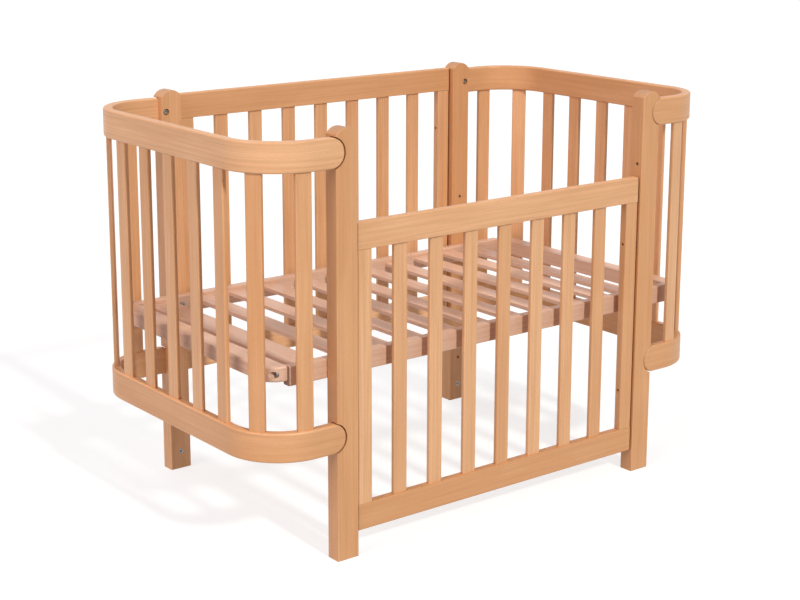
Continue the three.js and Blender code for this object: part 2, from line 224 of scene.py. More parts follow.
def join_rings(mesh, made):
    """Faces between each ring of vertices and the next."""
    for upper, lower in zip(made, made[1:]):
        for i in range(len(upper)):
            after = (i + 1) % len(upper)
            mesh.faces.new((upper[i], lower[i], lower[after], upper[after]))


def add_tube(mesh, rings, place):
    """Joins rings into a body that closes from the last ring to the first."""
    made = place_rings(mesh, rings, place)
    join_rings(mesh, made + made[:1])


def add_body(mesh, rings, place, strips=False):
    """Joins rings into a body with a cap at each end. Strips run across a cap that place bends."""
    made = place_rings(mesh, rings, place)
    join_rings(mesh, made)
    count = len(made[0])
    for ring in (made[0], made[-1]):
        if not strips:
            mesh.faces.new(ring)
            continue
        half = count // 2
        mesh.faces.new((ring[0], ring[1], ring[-1]))
        mesh.faces.new((ring[half - 1], ring[half], ring[half + 1]))
        for i in range(1, half - 1):
            mesh.faces.new((ring[i], ring[i + 1], ring[count - i - 1], ring[count - i]))


def new_object(name, mesh):
    """Turns a finished bmesh into an object of the scene."""
    data = bpy.data.meshes.new(name)
    mesh.to_mesh(data)
    mesh.free()
    made = bpy.data.objects.new(name, data)
    bpy.context.scene.collection.objects.link(made)
    return made


def new_piece(name, bodies):
    """An object made of closed bodies, each (rings, place) or (rings, place, strips)."""
    mesh = bmesh.new()
    for body in bodies:
        add_body(mesh, *body)
    bmesh.ops.remove_doubles(mesh, verts=mesh.verts, dist=MERGE_DISTANCE)
    bmesh.ops.recalc_face_normals(mesh, faces=mesh.faces)
    return new_object(name, mesh)


def carve(piece, bodies):
    """Cuts closed bodies out of a piece and applies the cut."""
    cutter = new_piece(piece.name + "_cutter", bodies)
    modifier = piece.modifiers.new("cut", "BOOLEAN")
    modifier.object = cutter
    modifier.solver = "EXACT"
    depsgraph = bpy.context.evaluated_depsgraph_get()
    data = bpy.data.meshes.new_from_object(piece.evaluated_get(depsgraph))
    piece.modifiers.clear()
    piece.data = data
    bpy.data.objects.remove(cutter)


def shade(piece):
    """Smooth faces, crisp where they meet at more than the sharp angle."""
    mesh = bmesh.new()
    mesh.from_mesh(piece.data)
    for face in mesh.faces:
        face.smooth = True
    for edge in mesh.edges:
        edge.smooth = len(edge.link_faces) == 2 and edge.calc_face_angle() < SHARP_ANGLE
    mesh.to_mesh(piece.data)
    mesh.free()
    weighted = piece.modifiers.new("weighted_normals", "WEIGHTED_NORMAL")
    weighted.keep_sharp = True


def straight(origin, across, depth):
    """Placing for a piece whose length runs along across x depth, and the way back for its grain."""
    along = across.cross(depth)

    def place(u, v, w):
        return origin + across * u + depth * v + along * w

    def grain(point):
        local = point - origin
        return Vector((local.dot(along), local.dot(across), local.dot(depth)))

    return place, grain


# How dark and warm a plank is, from 0 to 1: the planks that stand out in the photograph,
# and the range of all others. The dark tones of the back right post and the back top rail
# are painted shade, standing in for light that falls off towards the back.
PLANK_TONES_AND_SHADE = {
    "post_front_left": 0.85,
    "post_front_right": 0.95,
    "post_back_left": 0.55,
    # Painted shade: darker than its wood, for the light that falls off towards the back
    "post_back_right": 1.0,
    "end_rail_top_left": 0.25,
    "end_rail_bottom_left": 0.75,
    "end_rail_top_right": 0.7,
    "end_rail_bottom_right": 0.9,
    "front_top_rail": 0.3,
    "front_bottom_rail": 1.0,
    # Painted shade: darker than its wood, for the light that falls off towards the back
    "back_top_rail": 0.75,
    "back_slat_2": 0.1,
    "end_slat_left_4": 0.7,
    "end_slat_left_6": 0.2,
    "end_slat_left_8": 0.95,
    "end_slat_left_9": 0.8,
    "front_slat_1": 0.4,
    "front_slat_5": 0.1,
    "front_slat_7": 0.7,
}
OTHER_TONES = (0.15, 0.75)

# Where in its log a plank is cut from, at random: along the trunk and off its heart two ways
TRUNK_RANGE = (0, 40)
HEART_RANGE_ACROSS = (0.02, 0.09)
HEART_RANGE_THROUGH = (0.03, 0.12)

# How far off a face its grain is looked up, and how much the end grain's colour shows
PROBE = 0.001
END_DEPTH = 0.45
# The base rails' end faces are darkened in full, and the end boards' ends hardly at all
BASE_RAIL_END_DEPTH = 1.0
END_BAR_END_DEPTH = 0.1


def paint(piece, grain, material, end_depth=END_DEPTH):
    """Stores where each point lies in its log, the plank's tone (painted shade on a few back planks) and where end
    grain shows.
    """
    draw = random.Random(piece.name)
    ranges = (TRUNK_RANGE, HEART_RANGE_ACROSS, HEART_RANGE_THROUGH)
    shift = Vector([draw.uniform(*limits) for limits in ranges])
    tone = draw.uniform(*OTHER_TONES)
    for start, chosen in PLANK_TONES_AND_SHADE.items():
        if piece.name.startswith(start):
            tone = chosen
    data = piece.data
    places = []
    for vertex in data.vertices:
        places.extend(grain(vertex.co) + shift)
    depths = []
    for face in data.polygons:
        lengthwise = (grain(face.center + face.normal * PROBE) - grain(face.center)).x / PROBE
        depths.append(min(1, lengthwise * lengthwise) * end_depth)
    data.attributes.new("grain", "FLOAT_VECTOR", "POINT").data.foreach_set("vector", places)
    data.attributes.new("tone", "FLOAT", "POINT").data.foreach_set("value", [tone] * len(data.vertices))
    data.attributes.new("end_depth", "FLOAT", "FACE").data.foreach_set("value", depths)
    data.materials.clear()
    data.materials.append(material)


def dress(piece, body, slot, *nodes):
    """Shades a piece, hides the nodes it replaces and attaches it to the body it rides on.
    The slot argument is not used.
    """
    shade(piece)
    if nodes:
        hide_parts(*nodes)
    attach(piece, body)


# Materials

# Where a colour mix has its share and its two colours, and its result
MIX_INPUTS = (0, 6, 7)
MIX_RESULT = 2


class Nodes:
    """A short way to add shader nodes and link them."""

    def __init__(self, name):
        self.material = bpy.data.materials.new(name)
        self.material.use_nodes = True
        self.tree = self.material.node_tree
        self.shader = self.tree.nodes["Principled BSDF"]

    def add(self, kind, inputs=None, **settings):
        node = self.tree.nodes.new("ShaderNode" + kind)
        for key, value in settings.items():
            setattr(node, key, value)
        for key, value in (inputs or {}).items():
            if isinstance(value, bpy.types.NodeSocket):
                self.tree.links.new(value, node.inputs[key])
            else:
                node.inputs[key].default_value = value
        return node

    def scaled(self, vector, scale):
        return self.add("VectorMath", {0: vector, 1: scale}, operation="MULTIPLY").outputs[0]

    def noise(self, vector, scale, detail, roughness):
        inputs = {"Vector": self.scaled(vector, scale), "Scale": 1.0}
        return self.add("TexNoise", {**inputs, "Detail": detail, "Roughness": roughness})

    def spread(self, value, low, high, to_low=0.0, to_high=1.0):
        values = {"Value": value, "From Min": low, "From Max": high, "To Min": to_low, "To Max": to_high}
        return self.add("MapRange", values).outputs[0]

    def mix(self, share, first, second):
        inputs = dict(zip(MIX_INPUTS, (share, first, second)))
        return self.add("Mix", inputs, data_type="RGBA").outputs[MIX_RESULT]

    def math(self, operation, first, second):
        return self.add("Math", {0: first, 1: second}, operation=operation).outputs[0]

    def link(self, value, name):
        self.tree.links.new(value, self.shader.inputs[name])


def darkened(colour, share):
    return [channel * share for channel in colour[:3]] + [1]


# Noises of the materials: scale along, across and through the piece, detail and roughness
WANDER_NOISE = ((1.6, 10, 10), 2.0, 0.5)
FIBRE_NOISE = ((5, 420, 420), 3.0, 0.6)
STREAK_NOISE = ((2.2, 150, 150), 3.0, 0.55)
CLOUD_NOISE = ((4, 16, 16), 2.0, 0.5)
FLECK_NOISE = ((230, 1700, 1200), 1.0, 0.5)
PLATING_NOISE = ((700, 700, 700), 3.0, 0.6)
SCRATCH_NOISE = ((400, 3000, 3000), 2.0, 0.5)

# Growth lines: how far they wander off a straight trunk, and how they lie in it
MIDDLE_GREY = (0.5, 0.5, 0.5)
WANDER_REACH = (0, 0.014, 0.014)
RING_SQUEEZE = (0.02, 1, 1)
RING_VALUES = {"Scale": 48.0, "Distortion": 2.5, "Detail": 2.0}

# Where each pattern of the wood begins and ends to show, and how much it shows at most
FIBRE_RANGE = (0.42, 0.64)
FIBRE_SHARE = 0.26
STREAK_RANGE = (0.42, 0.64)
STREAK_SHARE = 0.24
RING_RANGE = (0.35, 1.0)
RING_SHARE = 0.1
CLOUD_RANGE = (0.35, 0.65)
CLOUD_SWING = 0.2
FLECK_RANGE = (0.62, 0.72)
FLECK_SHARE = 0.3
FLECK_DARKNESS = 0.55
END_DARKNESS = 0.42

# Surfaces
SHEEN_RANGE = (0.3, 0.7)
SHEEN_BELOW = 0.05
SHEEN_ABOVE = 0.07
FLECK_SINK = 0.5
WOOD_BUMP = {"Strength": 0.12, "Distance": 0.0004}
COAT_ROUGHNESS = 0.3
STEEL_DARKNESS = 0.7
STEEL_BUMP = {"Strength": 0.1, "Distance": 0.0001}


def beech(name, light, dark, warm, roughness, coat):
    """Planed beech: growth lines, streaks, fine fibres, short darker flecks and a tone for each plank."""
    nodes = Nodes(name)
    where = nodes.add("Attribute", attribute_name="grain").outputs["Vector"]
    tone = nodes.add("Attribute", attribute_name="tone").outputs["Fac"]
    ends = nodes.add("Attribute", attribute_name="end_depth").outputs["Fac"]
    wander = nodes.noise(where, *WANDER_NOISE).outputs["Color"]
    centred = nodes.add("VectorMath", {0: wander, 1: MIDDLE_GREY}, operation="SUBTRACT").outputs[0]
    swing = nodes.scaled(centred, WANDER_REACH)
    bent = nodes.add("VectorMath", {0: where, 1: swing}, operation="ADD").outputs[0]
    ring_inputs = {"Vector": nodes.scaled(bent, RING_SQUEEZE), **RING_VALUES}
    ring_settings = {"wave_type": "RINGS", "rings_direction": "X", "wave_profile": "SAW"}
    rings = nodes.add("TexWave", ring_inputs, **ring_settings).outputs["Fac"]
    fibres = nodes.noise(bent, *FIBRE_NOISE).outputs["Fac"]
    streaks = nodes.noise(bent, *STREAK_NOISE).outputs["Fac"]
    clouds = nodes.noise(where, *CLOUD_NOISE).outputs["Fac"]
    flecks = nodes.spread(nodes.noise(bent, *FLECK_NOISE).outputs["Fac"], *FLECK_RANGE)

    patches = nodes.math("ADD", nodes.spread(clouds, *CLOUD_RANGE, -CLOUD_SWING, CLOUD_SWING), tone)
    colour = nodes.mix(nodes.spread(patches, 0, 1), light, warm)
    colour = nodes.mix(nodes.spread(streaks, *STREAK_RANGE, 0, STREAK_SHARE), colour, dark)
    colour = nodes.mix(nodes.spread(fibres, *FIBRE_RANGE, 0, FIBRE_SHARE), colour, dark)
    colour = nodes.mix(nodes.spread(rings, *RING_RANGE, 0, RING_SHARE), colour, dark)
    colour = nodes.mix(nodes.math("MULTIPLY", flecks, FLECK_SHARE), colour, darkened(dark, FLECK_DARKNESS))
    colour = nodes.mix(ends, colour, darkened(dark, END_DARKNESS))
    nodes.link(colour, "Base Color")

    sheen = nodes.spread(fibres, *SHEEN_RANGE, roughness - SHEEN_BELOW, roughness + SHEEN_ABOVE)
    nodes.link(sheen, "Roughness")
    height = nodes.math("SUBTRACT", fibres, nodes.math("MULTIPLY", flecks, FLECK_SINK))
    nodes.link(nodes.add("Bump", {"Height": height, **WOOD_BUMP}).outputs[0], "Normal")
    nodes.shader.inputs["Coat Weight"].default_value = coat
    nodes.shader.inputs["Coat Roughness"].default_value = COAT_ROUGHNESS
    return nodes.material


def steel(name, colour, smoothest, roughest):
    """Zinc-plated steel, clouded and slightly scratched."""
    nodes = Nodes(name)
    where = nodes.add("TexCoord").outputs["Object"]
    clouds = nodes.noise(where, *PLATING_NOISE).outputs["Fac"]
    scratches = nodes.noise(where, *SCRATCH_NOISE).outputs["Fac"]
    dull = darkened(colour, STEEL_DARKNESS)
    nodes.link(nodes.mix(nodes.spread(clouds, *CLOUD_RANGE), colour, dull), "Base Color")
    nodes.link(nodes.spread(clouds, *SHEEN_RANGE, smoothest, roughest), "Roughness")
    nodes.link(nodes.add("Bump", {"Height": scratches, **STEEL_BUMP}).outputs[0], "Normal")
    nodes.shader.inputs["Metallic"].default_value = 1.0
    return nodes.material


LACQUERED = beech(
    "lacquered_beech",
    light=(0.83, 0.485, 0.255, 1),
    dark=(0.50, 0.23, 0.095, 1),
    warm=(0.66, 0.33, 0.14, 1),
    roughness=0.45,
    coat=0.1,
)
PLAIN = beech(
    "plain_beech",
    light=(0.80, 0.53, 0.38, 1),
    dark=(0.50, 0.28, 0.18, 1),
    warm=(0.68, 0.42, 0.29, 1),
    roughness=0.42,
    coat=0.25,
)
ZINC = steel("zinc_steel", colour=(0.36, 0.34, 0.32, 1), smoothest=0.33, roughest=0.48)


# Posts

def post_outline():
    half = (POST_HIGH.x - POST_LOW.x) / 2
    top = POST_HIGH.z
    radius = (half * half + POST_DOME_RISE * POST_DOME_RISE) / (2 * POST_DOME_RISE)
    centre = Vector((0, top - radius))
    reach = math.atan2(radius - POST_DOME_RISE, half)
    dome = arc(centre, radius, reach, math.pi - reach, DOME_STEPS)
    return [Vector((-half, 0)), Vector((half, 0))] + dome


def housing(sign_x, sign_y, height):
    """What makes room for the round end of a bent rail."""
    radius = RAIL_HEIGHT / 2 + HOUSING_GAP
    centre_x = RAIL_TIP + RAIL_HEIGHT / 2
    open_x = max(centre_x, POST_HIGH.x) + OVERRUN
    outline = arc(Vector((centre_x, 0)), radius, math.pi / 2, math.pi * 1.5, TIP_STEPS * 2)
    outline += [Vector((open_x, -radius)), Vector((open_x, radius))]
    inner = HALF_DEPTH - RAIL_THICKNESS - FIT_GAP
    outer = HALF_DEPTH + OVERRUN

    def place(u, v, w):
        return Vector((sign_x * u, sign_y * ((inner + outer) / 2 + w), height + v))

    return slab(outline, outer - inner), place


def hole(radius, start, end, sides=HOLE_SIDES):
    """A round cutter between two points."""
    along = (end - start).normalized()
    across = along.orthogonal().normalized()
    depth = along.cross(across)
    place, _ = straight((start + end) / 2, across, depth)
    return slab(circle(radius, sides), (end - start).length), place


def insert_spots(which, side):
    """Mouths of a post's insert holes, each as (point, direction into the wood)."""
    sign_x = SIGN_X[side]
    sign_y = SIGN_Y[which]
    x = sign_x * (POST_LOW.x + POST_HIGH.x) / 2
    inner_y = sign_y * POST_LOW.y
    heights = [LEG_INSERT_HEIGHT, BASE_BOLT_Z] + [BASE_BOLT_Z + step for step in BASE_RANGE]
    spots = [(Vector((x, inner_y, z)), AXIS_Y * sign_y) for z in sorted(heights)]
    low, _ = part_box(f"{which}_bottom_rail")
    _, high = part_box(f"{which}_top_rail")
    lifts = [0, SIDE_RISE] if which == "front" else [0]
    for lift in lifts:
        for z in (low.z + SIDE_BOLT_INSET, high.z - SIDE_BOLT_INSET):
            mouth = Vector((sign_x * POST_LOW.x, (low.y + high.y) / 2, z + lift))
            spots.append((mouth, AXIS_X * sign_x))
    return spots


def make_post(which, side):
    node = f"post_{which}_{side}"
    sign_x = SIGN_X[side]
    sign_y = SIGN_Y[which]
    centre = (POST_LOW + POST_HIGH) / 2
    flip = Vector((sign_x, sign_y, 1))

    def place(u, v, w):
        return Vector((centre.x + u, centre.y + w, v)) * flip

    def grain(point):
        return Vector((point.z, point.x - sign_x * centre.x, point.y - sign_y * centre.y))

    piece = new_piece(node + "_wood", [(slab(post_outline(), POST_HIGH.y - POST_LOW.y, POST_EDGE), place)])
    cutters = []
    bolt_x = sign_x * (POST_HIGH.x - BOLT_EDGE_DISTANCE)
    inner = sign_y * POST_LOW.y
    for height in RAIL_CENTRES:
        cutters.append(housing(sign_x, sign_y, height))
        mouth = Vector((bolt_x, inner - sign_y * OVERRUN, height))
        floor = inner + sign_y * (BOLT_HEAD_SINK + BOLT_HEAD_HEIGHT + FIT_GAP)
        cutters.append(hole(BOLT_RECESS_RADIUS, mouth, Vector((bolt_x, floor, height))))
    for mouth, into in insert_spots(which, side):
        cutters.append(hole(INSERT_HOLE_RADIUS, mouth - into * OVERRUN, mouth + into * INSERT_HOLE_DEPTH))
    carve(piece, cutters)
    paint(piece, grain, LACQUERED)
    dress(piece, "frame", "lacquered_beech", node)


# Bent rails

def rail_point(along, outwards):
    """Where a distance along the right-hand rail's centre line and an offset outwards lie on plan."""
    run = abs(along)
    side = math.copysign(1, along)
    if run <= CORNER_Y:
        return HALF_LENGTH - RAIL_THICKNESS / 2 + outwards, along
    angle = (run - CORNER_Y) / BEND_RADIUS
    if angle <= math.pi / 2:
        reach = BEND_RADIUS + outwards
        return CORNER_X + reach * math.cos(angle), side * (CORNER_Y + reach * math.sin(angle))
    return CORNER_X - (run - CORNER_Y - BEND_RUN), side * (HALF_DEPTH - RAIL_THICKNESS / 2 + outwards)


def unrolled(x, y):
    """The distance along the rail and the offset outwards of a point on plan."""
    side = math.copysign(1, y)
    beyond = abs(y) - CORNER_Y
    if x >= CORNER_X and beyond <= 0:
        return y, x - HALF_LENGTH + RAIL_THICKNESS / 2
    if x >= CORNER_X:
        angle = math.atan2(beyond, x - CORNER_X)
        return side * (CORNER_Y + BEND_RADIUS * angle), math.hypot(beyond, x - CORNER_X) - BEND_RADIUS
    return side * (CORNER_Y + BEND_RUN + CORNER_X - x), abs(y) - HALF_DEPTH + RAIL_THICKNESS / 2


def rail_outline():
    """The rail laid out flat: straight edges with a point at each step of the bends, and round tips."""
    radius = RAIL_HEIGHT / 2
    tip = CORNER_Y + BEND_RUN + CORNER_X - RAIL_TIP - radius
    stops = [CORNER_Y + BEND_RUN * i / BEND_STEPS for i in range(BEND_STEPS + 1)]
    edge = [-stop for stop in reversed(stops)] + stops
    top = [Vector((stop, radius)) for stop in reversed(edge)]
    bottom = [Vector((stop, -radius)) for stop in edge]
    first = arc(Vector((tip, 0)), radius, 0, math.pi / 2, TIP_STEPS)
    second = arc(Vector((-tip, 0)), radius, math.pi / 2, math.pi * 1.5, TIP_STEPS * 2)
    third = arc(Vector((tip, 0)), radius, -math.pi / 2, 0, TIP_STEPS)[:-1]
    return first + top + second + bottom + third


def make_bent_rail(level, side, height):
    sign_x = SIGN_X[side]

    def place(u, v, w):
        x, y = rail_point(u, w)
        return Vector((sign_x * x, y, height + v))

    def grain(point):
        along, outwards = unrolled(sign_x * point.x, point.y)
        return Vector((along, point.z - height, outwards))

    node = f"end_rail_{level}_{side}"
    piece = new_piece(node + "_wood", [(slab(rail_outline(), RAIL_THICKNESS, RAIL_EDGE), place, True)])
    paint(piece, grain, LACQUERED)
    dress(piece, "frame", "lacquered_beech", node)


# Slats and the two sides

def heading(node):
    """The direction of an upright slat's width, seen from above."""
    points = np.array([vertex.co.xy[:] for vertex in frame["nodes"][node].data.vertices])
    points -= points.mean(0)
    _, axes = np.linalg.eigh(points.T @ points)
    return Vector((axes[0, 1], axes[1, 1], 0))


def slat_section(node):
    """Width and thickness of a slat, measured across and square to its heading."""
    across = heading(node)
    through = AXIS_Z.cross(across)
    points = [vertex.co for vertex in frame["nodes"][node].data.vertices]
    spans = []
    for direction in (across, through):
        reach = [point.dot(direction) for point in points]
        spans.append(max(reach) - min(reach))
    return spans


def make_slat(node):
    low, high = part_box(node)
    width, thickness = slat_section(node)
    across = heading(node)
    place, grain = straight((low + high) / 2, across, AXIS_Z.cross(across))
    length = high.z - low.z - 2 * TENON + 2 * BURIED
    section = rounded_rectangle(width, thickness, [SLAT_EDGE] * 4)
    piece = new_piece(node + "_wood", [(slab(section, length, EASED), place)])
    paint(piece, grain, LACQUERED)
    dress(piece, BODY_OF[node], "lacquered_beech", node)


def side_bolt_spots(which, side):
    """Mouths of the bolt holes in a stile's inner edge."""
    low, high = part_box(f"{which}_stile_{side}")
    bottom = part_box(f"{which}_bottom_rail")[0].z
    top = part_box(f"{which}_top_rail")[1].z
    x = high.x if side == "left" else low.x
    y = (low.y + high.y) / 2
    return [Vector((x, y, bottom + SIDE_BOLT_INSET)), Vector((x, y, top - SIDE_BOLT_INSET))]


def make_washers(node, spots, outwards, reach):
    """The washers between a stile and its post."""
    discs = []
    bores = []
    for spot in spots:
        face = spot + outwards * reach
        discs.append(hole(WASHER_RADIUS, face, face + outwards * WASHER_THICKNESS))
        bores.append(hole(BOLT_RADIUS + FIT_GAP, face - outwards * OVERRUN, face + outwards * OVERRUN * 2))
    piece = new_piece(node + "_washers", discs)
    carve(piece, bores)
    piece.data.materials.append(ZINC)
    dress(piece, BODY_OF[node], "zinc_steel", node)


def make_side_rail(which, level):
    node = f"{which}_{level}_rail"
    low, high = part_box(node)
    up = AXIS_Z if level == "top" else -AXIS_Z
    place, grain = straight((low + high) / 2, up, AXIS_Y)
    radii = [SIDE_OUTER_EDGE, SIDE_INNER_EDGE, SIDE_INNER_EDGE, SIDE_OUTER_EDGE]
    section = rounded_rectangle(high.z - low.z, high.y - low.y, radii)
    piece = new_piece(node + "_wood", [(slab(section, high.x - low.x, EASED), place)])
    paint(piece, grain, LACQUERED)
    dress(piece, BODY_OF[node], "lacquered_beech", node)


def make_stile(which, side):
    """The upright at the end of a side, with its bolt holes and washers."""
    node = f"{which}_stile_{side}"
    outwards = AXIS_X * SIGN_X[side]
    low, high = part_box(node)
    place, grain = straight((low + high) / 2 - outwards * WASHER_THICKNESS / 2, AXIS_X, AXIS_Y)
    width = high.x - low.x - WASHER_THICKNESS
    section = rounded_rectangle(width, high.y - low.y, [STILE_EDGE] * 4)
    length = high.z - low.z - 2 * TENON
    piece = new_piece(node + "_wood", [(slab(section, length, EASED), place)])
    spots = side_bolt_spots(which, side)
    cutters = []
    for spot in spots:
        start = spot - outwards * OVERRUN
        cutters.append(hole(BOLT_RADIUS + FIT_GAP, start, spot + outwards * (width + OVERRUN)))
        cutters.append(hole(SIDE_HEAD_RADIUS, start, spot + outwards * SIDE_HEAD_DEPTH))
    carve(piece, cutters)
    paint(piece, grain, LACQUERED)
    dress(piece, BODY_OF[node], "lacquered_beech", node)
    make_washers(node, spots, outwards, width)


def make_side(which):
    """The two rails and two stiles of the front or the back side, without its slats."""
    for level in ("bottom", "top"):
        make_side_rail(which, level)
    for side in SIGN_X:
        make_stile(which, side)


# Bed base

def end_bar_bolt_places(high):
    """Where the bolts of an end board lie in Y, the front one and the back one."""
    return [sign_y * (high.y - END_BAR_HOLE_INSET) for sign_y in SIGN_Y.values()]


def base_bolt_places():
    """Where the base's bolts come out of the inner faces of its rails, on plan."""
    x = (POST_LOW.x + POST_HIGH.x) / 2
    y = DECK_HIGH.y - BASE_RAIL_THICKNESS
    return [(sign_x * x, sign_y * y) for sign_x in SIGN_X.values() for sign_y in SIGN_Y.values()]


def make_base_rail(which):
    sign_y = SIGN_Y[which]
    origin = Vector((0, sign_y * (DECK_HIGH.y - BASE_RAIL_THICKNESS / 2), BASE_BOLT_Z))
    place, grain = straight(origin, AXIS_Y, AXIS_Z)
    section = rounded_rectangle(BASE_RAIL_THICKNESS, DECK_HIGH.z - DECK_LOW.z, [BASE_RAIL_EDGE] * 4)
    piece = new_piece(f"base_rail_{which}", [(slab(section, DECK_HIGH.x - DECK_LOW.x, EASED), place)])
    cutters = []
    for x, y in base_bolt_places():
        if y * sign_y > 0:
            start = Vector((x, y - sign_y * OVERRUN, BASE_BOLT_Z))
            end = Vector((x, sign_y * (DECK_HIGH.y + OVERRUN), BASE_BOLT_Z))
            cutters.append(hole(BOLT_RADIUS + FIT_GAP, start, end))
    carve(piece, cutters)
    paint(piece, grain, PLAIN, BASE_RAIL_END_DEPTH)
    dress(piece, "bed_base", "plain_beech", "base_slat_deck")


def make_base_slats():
    """The cross slats from left to right: a wide one, the evenly spaced ones and the last one."""
    slats = [(LEFT_SLAT_INSET - DECK_HIGH.x, LEFT_SLAT_WIDTH)]
    for i in range(-BASE_SLATS_EACH_WAY, BASE_SLATS_EACH_WAY + 1):
        slats.append((i * BASE_SLAT_PITCH, BASE_SLAT_WIDTH))
    slats.append((DECK_HIGH.x - RIGHT_SLAT_INSET, BASE_SLAT_WIDTH))
    length = 2 * (DECK_HIGH.y - BASE_RAIL_THICKNESS + BURIED)
    height = DECK_HIGH.z - BASE_SLAT_SINK - BASE_SLAT_THICKNESS / 2
    for i, (x, width) in enumerate(slats):
        place, grain = straight(Vector((x, 0, height)), AXIS_Z, AXIS_X)
        section = rounded_rectangle(BASE_SLAT_THICKNESS, width, [BASE_SLAT_EDGE] * 4)
        piece = new_piece(f"base_slat_{i + 1}", [(slab(section, length, EASED), place)])
        paint(piece, grain, PLAIN)
        dress(piece, "bed_base", "plain_beech", "base_slat_deck")


def make_end_bar(side):
    """A board at an end of the base. It's cut off at its inner edge, which stays sharp."""
    node = f"base_end_bar_{side}"
    sign_x = SIGN_X[side]
    low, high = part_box("base_end_bar_right")
    radius = END_BAR_CORNER_RADIUS
    corner = Vector((high.x - radius, high.y - radius))
    outline = [Vector((0, low.y))]
    outline += arc(Vector((corner.x, -corner.y)), radius, -math.pi / 2, 0, DOME_STEPS)
    outline += arc(corner, radius, 0, math.pi / 2, DOME_STEPS)
    outline.append(Vector((0, high.y)))
    middle = (low.z + high.z) / 2

    def place(u, v, w):
        return Vector((sign_x * u, v, middle + w))

    def grain(point):
        return Vector((point.y, point.x, point.z - middle))

    piece = new_piece(node + "_wood", [(slab(outline, high.z - low.z, END_BAR_EDGE), place)])
    inner = rounded_rectangle(2 * low.x, 2 * high.y + 2 * OVERRUN, [OVERRUN] * 4)
    cutters = [(slab(inner, high.z - low.z + 2 * OVERRUN), place)]
    for y in end_bar_bolt_places(high):
        mouth = Vector((sign_x * (high.x + OVERRUN), y, middle))
        floor = Vector((sign_x * (high.x - END_BAR_HOLE_DEPTH), y, middle))
        cutters.append(hole(END_BAR_HOLE_RADIUS, mouth, floor))
    carve(piece, cutters)
    paint(piece, grain, PLAIN, END_BAR_END_DEPTH)
    dress(piece, "bed_base", "plain_beech", node)


# Fasteners

def socket_bolt(name, spot, into, head_radius, length):
    """A socket-head bolt whose head's face is at spot."""
    across = into.orthogonal().normalized()
    place, _ = straight(spot, across, into.cross(across))
    profile = [
        (head_radius - BOLT_CHAMFER, 0),
        (head_radius, BOLT_CHAMFER),
        (head_radius, BOLT_HEAD_HEIGHT),
        (BOLT_RADIUS, BOLT_HEAD_HEIGHT),
        (BOLT_RADIUS, length),
    ]
    piece = new_piece(name, [(lathe(profile), place)])
    carve(piece, [hole(KEY_RADIUS, spot - into * OVERRUN, spot + into * KEY_DEPTH, KEY_SIDES)])
    piece.data.materials.append(ZINC)
    return piece


def make_rail_bolts():
    for level, height in zip(("top", "bottom"), RAIL_CENTRES):
        for which, sign_y in SIGN_Y.items():
            for side, sign_x in SIGN_X.items():
                node = f"rail_bolt_{level}_{which}_{side}"
                x = sign_x * (POST_HIGH.x - BOLT_EDGE_DISTANCE)
                spot = Vector((x, sign_y * (POST_LOW.y + BOLT_HEAD_SINK), height))
                into = AXIS_Y * sign_y
                bolt = socket_bolt(node + "_steel", spot, into, BOLT_HEAD_RADIUS, BOLT_LENGTH)
                dress(bolt, "frame", "zinc_steel", node)


def insert_rings(flanged):
    """A threaded insert as rings round its axis, from its mouth down the outside and up the bore."""
    outer = FLANGE_RADIUS if flanged else INSERT_RADIUS
    profile = [(INSERT_BORE, 0), (outer, 0)]
    if flanged:
        profile += [(outer, FLANGE_RISE), (INSERT_RADIUS, FLANGE_RISE)]
    profile += [(INSERT_RADIUS, INSERT_LENGTH), (INSERT_BORE, INSERT_LENGTH)]
    turns = int(INSERT_LENGTH / THREAD_PITCH) - 1
    flank = THREAD_PITCH * THREAD_FLANK_SHARE
    for i in range(turns, 0, -1):
        profile.append((INSERT_BORE, i * THREAD_PITCH + flank))
        profile.append((INSERT_BORE - THREAD_HEIGHT, i * THREAD_PITCH - flank))
    return lathe(profile)


def make_inserts(which, side):
    """All the threaded inserts of one post."""
    mesh = bmesh.new()
    for mouth, into in insert_spots(which, side):
        flanged = abs(mouth.z - LEG_INSERT_HEIGHT) < OVERRUN
        across = into.orthogonal().normalized()
        start = mouth - into * FLANGE_RISE if flanged else mouth + into * INSERT_SINK
        place, _ = straight(start, across, into.cross(across))
        add_tube(mesh, insert_rings(flanged), place)
    bmesh.ops.recalc_face_normals(mesh, faces=mesh.faces)
    piece = new_object(f"post_{which}_{side}_inserts", mesh)
    piece.data.materials.append(ZINC)
    dress(piece, "frame", "zinc_steel")


def make_side_bolts(which):
    for side, sign_x in SIGN_X.items():
        for level, spot in zip(("lower", "upper"), side_bolt_spots(which, side)):
            into = AXIS_X * sign_x
            head = spot + into * (SIDE_HEAD_DEPTH - BOLT_HEAD_HEIGHT)
            name = f"{which}_stile_{side}_bolt_{level}"
            bolt = socket_bolt(name, head, into, SIDE_HEAD_RADIUS - FIT_GAP, BOLT_LENGTH)
            dress(bolt, BODY_OF[f"{which}_stile_{side}"], "zinc_steel")


def make_base_bolts():
    for i, (x, y) in enumerate(base_bolt_places()):
        into = AXIS_Y * math.copysign(1, y)
        spot = Vector((x, y, BASE_BOLT_Z)) - into * BOLT_HEAD_HEIGHT
        length = BOLT_HEAD_HEIGHT + BASE_RAIL_THICKNESS
        bolt = socket_bolt(f"base_bolt_{i + 1}", spot, into, BOLT_HEAD_RADIUS, length)
        dress(bolt, "bed_base", "zinc_steel")


def make_end_bar_bolts():
    low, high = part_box("base_end_bar_right")
    for side, sign_x in SIGN_X.items():
        for which, y in zip(SIGN_Y, end_bar_bolt_places(high)):
            into = AXIS_X * -sign_x
            floor = Vector((sign_x * (high.x - END_BAR_HOLE_DEPTH), y, (low.z + high.z) / 2))
            spot = floor - into * BOLT_HEAD_HEIGHT
            name = f"base_end_bar_{side}_bolt_{which}"
            length = BOLT_HEAD_HEIGHT + OVERRUN
            bolt = socket_bolt(name, spot, into, END_BAR_HOLE_RADIUS - FIT_GAP, length)
            dress(bolt, "bed_base", "zinc_steel")


